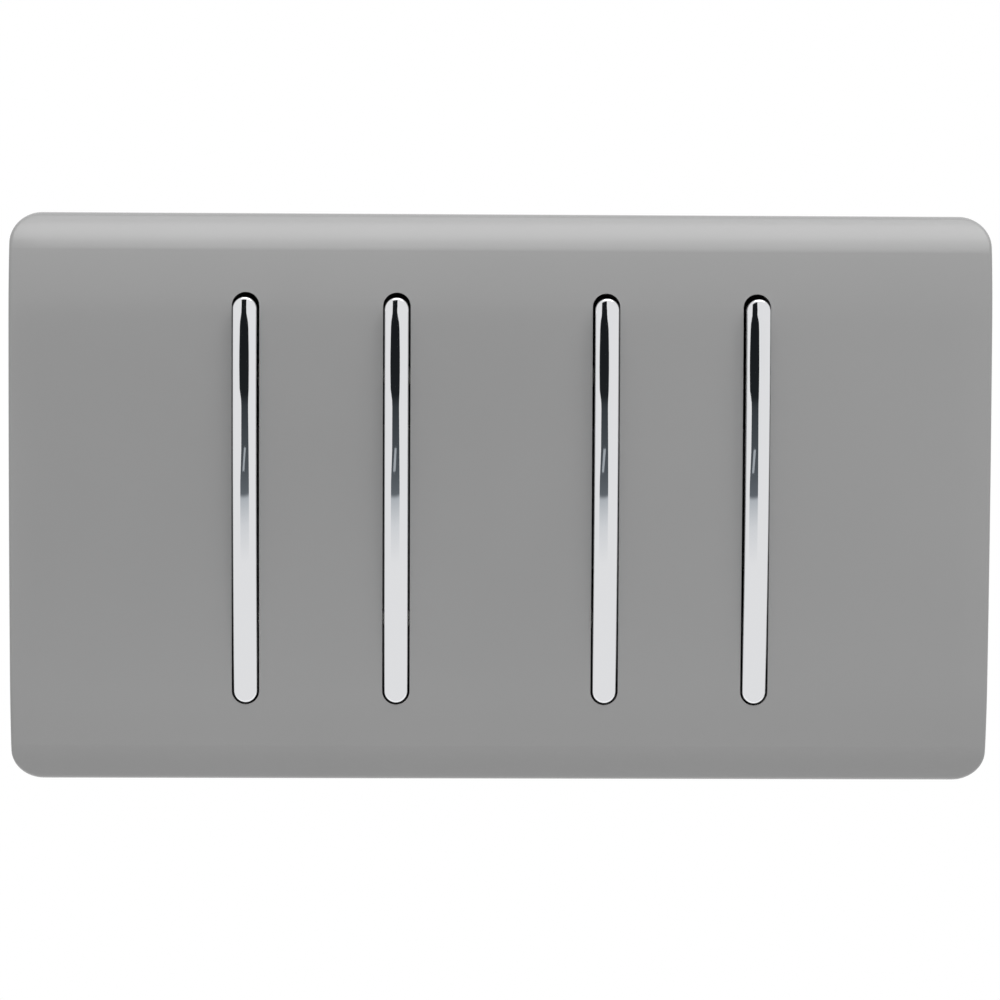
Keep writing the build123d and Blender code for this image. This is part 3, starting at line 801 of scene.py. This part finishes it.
def model_key():
    """One resting key at the middle of the plate: a crowned bar with round ends and two legs."""
    keys = bpy.context.scene.switch_keys
    half_width, half_length = keys.width / 2, keys.length / 2
    piece = block(
        "key_bar",
        (-half_width, -keys.crown_y, -half_length),
        (half_width, -keys.seat_y, half_length),
    )
    straight = half_length - half_width
    with editing(piece):
        pick("EDGE", runs_back)
        round_edges(half_width, segments=24)
        bpy.ops.mesh.select_all(action="SELECT")
        bpy.ops.mesh.remove_doubles(threshold=HAIR)
        cut_rows([straight * (2 * k / keys.rows - 1) for k in range(1, keys.rows)], (0, 0, 1))
        pick("FACE", lambda f: f.normal.y < -0.999)
        rings = 5
        first_ring = keys.edge_radius + 0.05 * MM
        next_ring = (half_width - first_ring) / (rings + 0.2)
        bpy.ops.mesh.inset(thickness=first_ring, depth=0)
        for _ in range(rings):
            bpy.ops.mesh.inset(thickness=next_ring, depth=0)
        front_half = -keys.seat_y - HAIR
        move_rows(2, lambda v: v.co.y < front_half, key_bow)
        move_rows(0, lambda v: v.co.y < front_half, key_crown)
        pick("EDGE", is_key_rim)
        round_edges(keys.edge_radius, segments=12)
    activate(piece)
    bpy.ops.object.shade_smooth_by_angle(angle=radians(40))
    activate(piece, *model_key_legs(keys))
    bpy.ops.object.join()
    bpy.context.scene.cursor.location = (0, -keys.pivot_y, 0)
    bpy.ops.object.origin_set(type="ORIGIN_CURSOR")
    piece.rotation_euler.x = keys.tilt
    bpy.ops.object.transform_apply(location=True, rotation=True, scale=True)
    return piece


def model_thread(sizes):
    """The helical ridge of a screw thread about the Y axis."""
    root, crest = sizes.core_radius - OVERLAP, sizes.thread_radius
    ridge_share, steps = 0.92, 28
    half_base = ridge_share / 2 * sizes.thread_pitch
    start = sizes.thread_start
    corners = ((root, start - half_base, 0), (crest, start, 0), (root, start + half_base, 0))
    piece = outline_sheet("thread", corners, "NOTHING")
    turns = int((sizes.reach - 2 * start) / sizes.thread_pitch)
    finish_with(
        piece,
        "SCREW",
        axis="Y",
        angle=2 * pi,
        screw_offset=sizes.thread_pitch,
        iterations=turns,
        steps=steps,
        render_steps=steps,
        use_merge_vertices=False,
        use_smooth_shade=False,
    )
    with editing(piece):
        bpy.ops.mesh.select_all(action="SELECT")
        bpy.ops.mesh.fill_holes(sides=3)
        bpy.ops.mesh.select_all(action="SELECT")
        bpy.ops.mesh.normals_make_consistent(inside=False)
    activate(piece)
    bpy.ops.object.shade_smooth_by_angle(angle=radians(35))
    return piece


def model_fixing_screw():
    """A slotted machine screw on the Y axis, with its thread behind the frame."""
    sizes = bpy.context.scene.switch_screws
    frame_front = -sizes.seat
    head_front = frame_front - sizes.head_thickness
    head = round_bar("fixing_screw", sizes.head_radius, head_front, frame_front, sides=64)
    with editing(head):
        pick("EDGE", lambda e: all(v.co.y < head_front + HAIR for v in e.verts))
        round_edges(sizes.head_round, segments=8)
    reach = sizes.head_radius + THROUGH
    half_slot = sizes.slot_width / 2
    low = (-reach, head_front - THROUGH, -half_slot)
    high = (reach, head_front + sizes.slot_depth, half_slot)
    carve(head, block("drive_tool", low, high))
    soften(head, sizes.slot_edge)
    neck = round_bar("neck", sizes.neck_radius, frame_front - OVERLAP, OVERLAP, sides=40)
    core = round_bar("core", sizes.core_radius, 0, sizes.reach, sides=40)
    with editing(core):
        pick("EDGE", lambda e: all(v.co.y > sizes.reach - HAIR for v in e.verts))
        round_edges(sizes.tip_round, segments=3)
    for part in (neck, core):
        activate(part)
        bpy.ops.object.shade_smooth_by_angle(angle=radians(40))
    activate(head, neck, core, model_thread(sizes))
    bpy.ops.object.join()
    return head


def softened_copy(node, name, width, segments=2):
    """A piece with the form of a node, its faces merged and its edges rounded."""
    mesh = frame["nodes"][node].data.copy()
    piece = bpy.data.objects.new(name, mesh)
    bpy.context.collection.objects.link(piece)
    with editing(piece):
        bpy.ops.mesh.customdata_custom_splitnormals_clear()
        bpy.ops.mesh.select_all(action="SELECT")
        bpy.ops.mesh.remove_doubles(threshold=HAIR)
        bpy.ops.mesh.dissolve_limited(angle_limit=radians(0.6))
    if width > 0:
        soften(piece, width, segments)
    else:
        activate(piece)
        bpy.ops.object.shade_smooth_by_angle(angle=radians(35))
    return piece


def dress_copies(parts, body_pattern):
    """Dresses a softened copy of each node in all four modules, by name, rounding and slot."""
    for node, (name, width, slot) in parts.items():
        for number in range(1, KEY_COUNT + 1):
            body = body_pattern.format(number)
            piece = softened_copy(f"{node}_{number}", f"{name}_{number}", width)
            dress(piece, body, slot, f"{node}_{number}")


def shorten_springs(keys):
    """Each spring gives way towards the floor of its bore as its plunger slides in."""
    along_stem = (0, cos(keys.tilt), sin(keys.tilt))
    for number in range(1, KEY_COUNT + 1):
        low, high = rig.box(f"plunger_spring_{number}")
        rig.squash(
            bpy.data.objects[f"spring_{number}"],
            f"plunger_{number}_slide",
            axis=along_stem,
            anchor=tuple(low),
            keep=1 - keys.plunger_travel / (high.y - low.y),
        )


class SWITCH_OT_cover(bpy.types.Operator):
    """Model the gloss front plate"""

    bl_idname = "switch.cover"
    bl_label = "Front plate"

    def execute(self, context):
        dress(model_cover(), "chassis", "cover_gloss", "front_plate")
        return {"FINISHED"}


class SWITCH_OT_keys(bpy.types.Operator):
    """Model the four chrome keys"""

    bl_idname = "switch.keys"
    bl_label = "Rocker keys"

    def execute(self, context):
        bars = copies_at(model_key(), "key_bar", key_places())
        for number, bar in enumerate(bars, start=1):
            dress(bar, f"rocker_{number}", "key_chrome", f"rocker_key_{number}")
        return {"FINISHED"}


class SWITCH_OT_cradles(bpy.types.Operator):
    """Finish the moulded rockers below the keys, with their plungers and springs"""

    bl_idname = "switch.cradles"
    bl_label = "Rocker cradles"

    def execute(self, context):
        dress_copies({"rocker_cradle": ("cradle", 0.2 * MM, "rocker_moulding")}, "rocker_{}")
        dress_copies({"plunger_spring": ("spring", 0.0, "spring_steel")}, "rocker_{}")
        dress_copies({"plunger": ("pin", 0.0, "plunger_nylon")}, "plunger_{}")
        shorten_springs(context.scene.switch_keys)
        return {"FINISHED"}


class SWITCH_OT_modules(bpy.types.Operator):
    """Finish the four switch modules and their terminals"""

    bl_idname = "switch.modules"
    bl_label = "Switch modules"

    def execute(self, context):
        parts = {
            "module_cap": ("cap", 0.25 * MM, "module_moulding"),
            "module_housing": ("housing", 0.25 * MM, "module_moulding"),
            "common_terminal": ("common", 0.1 * MM, "terminal_brass"),
            "line_terminal_upper": ("line_upper", 0.12 * MM, "terminal_brass"),
            "line_terminal_lower": ("line_lower", 0.12 * MM, "terminal_brass"),
            "terminal_screws": ("clamp_screws", 0.12 * MM, "screw_steel"),
        }
        dress_copies(parts, "chassis")
        return {"FINISHED"}


class SWITCH_OT_contacts(bpy.types.Operator):
    """Finish the seesaw contacts and their silver tips"""

    bl_idname = "switch.contacts"
    bl_label = "Contacts"

    def execute(self, context):
        parts = {
            "contact_blade": ("blade", 0.08 * MM, "contact_copper"),
            "moving_contacts": ("tips", 0.06 * MM, "contact_silver"),
        }
        dress_copies(parts, "seesaw_{}")
        piece = softened_copy("fixed_contacts", "fixed_tips", 0.06 * MM)
        dress(piece, "chassis", "contact_silver", "fixed_contacts")
        return {"FINISHED"}


class SWITCH_OT_mounting(bpy.types.Operator):
    """Finish the mounting frame, its earth terminal and the small screws"""

    bl_idname = "switch.mounting"
    bl_label = "Mounting frame"

    def execute(self, context):
        parts = {
            "mounting_frame": ("carrier", 0.2 * MM, "frame_moulding"),
            "earth_terminal": ("earth_block", 0.15 * MM, "terminal_brass"),
            "earth_screw": ("earth_clamp", 0.12 * MM, "screw_steel"),
            "module_screws": ("module_screw_set", 0.12 * MM, "screw_steel"),
        }
        for node, (name, width, slot) in parts.items():
            dress(softened_copy(node, name, width), "chassis", slot, node)
        return {"FINISHED"}


class SWITCH_OT_fixings(bpy.types.Operator):
    """Model the two threaded screws that go into the wall box"""

    bl_idname = "switch.fixings"
    bl_label = "Fixing screws"

    def execute(self, context):
        half = context.scene.switch_screws.pitch / 2
        pair = copies_at(model_fixing_screw(), "threaded_screw", (-half, half))
        for screw in pair:
            dress(screw, "chassis", "screw_steel", "fixing_screws")
        return {"FINISHED"}


def camera_direction(studio):
    """From the middle of the plate towards the camera."""
    level = cos(studio.elevation)
    return Vector((-sin(studio.yaw) * level, -cos(studio.yaw) * level, sin(studio.elevation)))


def add_camera(studio):
    """The camera of the photograph's view."""
    direction = camera_direction(studio)
    place = direction * studio.distance
    bpy.ops.object.camera_add(location=place)
    camera = bpy.context.active_object
    turn = (-direction).to_track_quat("-Z", "Y").to_matrix().to_4x4()
    roll = Matrix.Rotation(studio.roll, 4, "Z")
    camera.matrix_world = Matrix.Translation(place) @ turn @ roll
    camera.data.sensor_width = 36
    camera.data.lens = studio.lens
    camera.data.shift_x = studio.shift_x
    camera.data.shift_y = studio.shift_y
    camera.data.clip_start = 0.01
    bpy.context.scene.camera = camera


def add_softbox(name, place, width, height, power):
    """A large rectangular lamp that faces the middle of the plate."""
    bpy.ops.object.light_add(type="AREA", location=place)
    lamp = bpy.context.active_object
    lamp.name = name
    lamp.data.shape = "RECTANGLE"
    lamp.data.size = width
    lamp.data.size_y = height
    lamp.data.energy = power
    lamp.visible_camera = False
    lamp.rotation_euler = (-Vector(place)).to_track_quat("-Z", "Y").to_euler()


def white_to_the_eye(tree):
    """1 for rays that see the backdrop, straight, reflected or through glass, and 0 for others."""
    path = tree.nodes.new("ShaderNodeLightPath")
    seen = path.outputs["Is Camera Ray"]
    for name in ("Is Glossy Ray", "Is Transmission Ray"):
        larger = tree.nodes.new("ShaderNodeMath")
        larger.operation = "MAXIMUM"
        tree.links.new(seen, larger.inputs[0])
        tree.links.new(path.outputs[name], larger.inputs[1])
        seen = larger.outputs[0]
    return seen


def light_the_room(studio):
    """White surroundings for the eye and an even light for matt surfaces."""
    world = bpy.data.worlds.new("room")
    bpy.context.scene.world = world
    world.use_nodes = True
    tree = world.node_tree
    background = tree.nodes["Background"]
    background.inputs["Color"].default_value = (1, 1, 1, 1)
    strength = tree.nodes.new("ShaderNodeMapRange")
    strength.inputs["To Min"].default_value = studio.room_light
    strength.inputs["To Max"].default_value = 1.0
    tree.links.new(white_to_the_eye(tree), strength.inputs["Value"])
    tree.links.new(strength.outputs["Result"], background.inputs["Strength"])


def add_floor(studio):
    """A pale floor below the switch that still shows its shadow."""
    bpy.ops.mesh.primitive_circle_add(
        vertices=96,
        radius=studio.floor_radius,
        fill_type="NGON",
        location=(0, 0, -studio.floor_drop),
    )
    floor = bpy.context.active_object
    floor.name = "floor"
    material = bpy.data.materials.new("floor_paper")
    material.use_nodes = True
    tree = material.node_tree
    shader = tree.nodes["Principled BSDF"]
    shader.inputs["Base Color"].default_value = (0.8, 0.8, 0.8, 1)
    shader.inputs["Roughness"].default_value = 0.9
    shader.inputs["Specular IOR Level"].default_value = 0.0
    shader.inputs["Emission Color"].default_value = (1, 1, 1, 1)
    lift = tree.nodes.new("ShaderNodeMath")
    lift.operation = "MULTIPLY"
    lift.inputs[1].default_value = studio.floor_glow
    tree.links.new(white_to_the_eye(tree), lift.inputs[0])
    tree.links.new(lift.outputs[0], shader.inputs["Emission Strength"])
    floor.data.materials.append(material)
    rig.stage(floor)


def far_panel(name, outline, distance):
    """A panel that only reflections see, with its corners as azimuths and elevations in degrees."""
    points = [
        (distance * sin(radians(a)), -distance * cos(radians(a)), distance * sin(radians(e)))
        for a, e in outline
    ]
    panel = outline_sheet(name, points, "NGON")
    panel.visible_camera = False
    panel.visible_diffuse = False
    panel.visible_transmission = False
    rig.stage(panel)
    return panel


def height_glow(name, low, high, stops):
    """An even glow whose grey goes by height, from pairs of an elevation in degrees and a grey."""
    material = bpy.data.materials.new(name)
    material.use_nodes = True
    tree = material.node_tree
    tree.nodes.remove(tree.nodes["Principled BSDF"])
    glow = tree.nodes.new("ShaderNodeEmission")
    ramp = tree.nodes.new("ShaderNodeValToRGB")
    place = tree.nodes.new("ShaderNodeTexCoord")
    split = tree.nodes.new("ShaderNodeSeparateXYZ")
    spread = tree.nodes.new("ShaderNodeMapRange")
    spread.inputs["From Min"].default_value = low
    spread.inputs["From Max"].default_value = high
    elements = ramp.color_ramp.elements
    for elevation, _ in stops[1:-1]:
        elements.new((FLAG_DISTANCE * sin(radians(elevation)) - low) / (high - low))
    for element, (_, grey) in zip(elements, stops):
        element.color = (*[grey * (1 + cast * (1 - grey)) for cast in BLUE_CAST], 1)
    tree.links.new(place.outputs["Object"], split.inputs["Vector"])
    tree.links.new(split.outputs["Z"], spread.inputs["Value"])
    tree.links.new(spread.outputs["Result"], ramp.inputs["Fac"])
    tree.links.new(ramp.outputs["Color"], glow.inputs["Color"])
    tree.links.new(glow.outputs["Emission"], tree.nodes["Material Output"].inputs["Surface"])
    return material


def add_flag():
    """A dark flag far in front, for the dark line in each key's upper half, and a pale glint."""
    left = ((-14.9, -13.0), (-14.9, -8.05), (-14.7, -7.0), (-12.0, -4.7), (-11.8, -1.7))
    left += ((-12.4, -1.2), (-16.5, -0.4), (-17.4, 1.1), (-17.2, 2.2), (-16.1, 3.9))
    left += ((-15.2, 4.3), (-12.0, 4.8))
    right = ((1.4, 4.8), (5.6, 4.3), (6.7, 3.9), (7.8, 2.2), (8.0, 1.1), (7.6, -0.4))
    right += ((6.4, -1.2), (6.2, -1.7), (7.4, -4.7), (8.1, -7.0), (8.2, -8.05), (8.2, -13.0))
    top = ((-11.2, 6.2), (1.2, 6.2))
    flag = far_panel("flag", left + top + right, FLAG_DISTANCE)
    stops = (
        (-13.0, 1.0),
        (-10.2, 0.86),
        (-8.2, 0.6),
        (-7.9, 0.17),
        (-6.0, 0.11),
        (-1.6, 0.055),
        (-0.8, 0.02),
        (6.2, 0.012),
    )
    low = FLAG_DISTANCE * sin(radians(stops[0][0]))
    high = FLAG_DISTANCE * sin(radians(stops[-1][0]))
    flag.data.materials.append(height_glow("flag_cloth", low, high, stops))
    glint = far_panel(
        "glint", ((-9.0, -6.3), (-3.5, -6.3), (0.5, -4.6), (-5.5, -4.6)), FLAG_DISTANCE - 0.1
    )
    glint.data.materials.append(height_glow("glint_paper", low, high, ((-13.0, 0.5), (6.2, 0.5))))


class SWITCH_OT_studio(bpy.types.Operator):
    """Set up the camera, the lamps and the pale surroundings"""

    bl_idname = "switch.studio"
    bl_label = "Studio"

    def execute(self, context):
        studio = context.scene.switch_studio
        context.scene.view_settings.view_transform = "Standard"
        add_camera(studio)
        overhead, ahead = (0.1, -0.33, 0.95), (0.243, -0.848, 1.214)
        add_softbox("top_softbox", overhead, width=1.2, height=0.8, power=studio.top_lamp)
        add_softbox("front_softbox", ahead, width=1.3, height=1.1, power=studio.front_lamp)
        light_the_room(studio)
        add_floor(studio)
        add_flag()
        return {"FINISHED"}


class SWITCH_PT_panel(bpy.types.Panel):
    """Lists the steps that build the switch."""

    bl_label = "Rocker switch"
    bl_idname = "SWITCH_PT_panel"
    bl_space_type = "VIEW_3D"
    bl_region_type = "UI"
    bl_category = "Rocker switch"

    def draw(self, context):
        for step in steps:
            self.layout.operator(step.bl_idname)
        for group in groups:
            box = self.layout.box()
            settings = getattr(context.scene, group)
            for name in settings.__annotations__:
                box.prop(settings, name)


steps = (
    SWITCH_OT_studio,
    SWITCH_OT_cover,
    SWITCH_OT_keys,
    SWITCH_OT_cradles,
    SWITCH_OT_modules,
    SWITCH_OT_contacts,
    SWITCH_OT_mounting,
    SWITCH_OT_fixings,
)
groups = {
    "switch_cover": CoverSizes,
    "switch_keys": KeySizes,
    "switch_screws": ScrewSizes,
    "switch_finish": FinishColours,
    "switch_studio": StudioSettings,
}


def register():
    for cls in (*groups.values(), *steps, SWITCH_PT_panel):
        bpy.utils.register_class(cls)
    for name, cls in groups.items():
        setattr(bpy.types.Scene, name, PointerProperty(type=cls))


def unregister():
    for name in groups:
        delattr(bpy.types.Scene, name)
    for cls in (SWITCH_PT_panel, *reversed(steps), *groups.values()):
        bpy.utils.unregister_class(cls)


def main():
    register()
    bpy.ops.switch.studio()
    bpy.ops.switch.cover()
    bpy.ops.switch.keys()
    bpy.ops.switch.cradles()
    bpy.ops.switch.modules()
    bpy.ops.switch.contacts()
    bpy.ops.switch.mounting()
    bpy.ops.switch.fixings()
    dressed_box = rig.bounds()
    sizes = {
        "cad": [list(corner) for corner in cad_box],
        "visual": [list(corner) for corner in dressed_box],
    }
    with open("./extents.json", "w") as file:
        json.dump(sizes, file, indent=1)


if __name__ == "__main__":
    main()
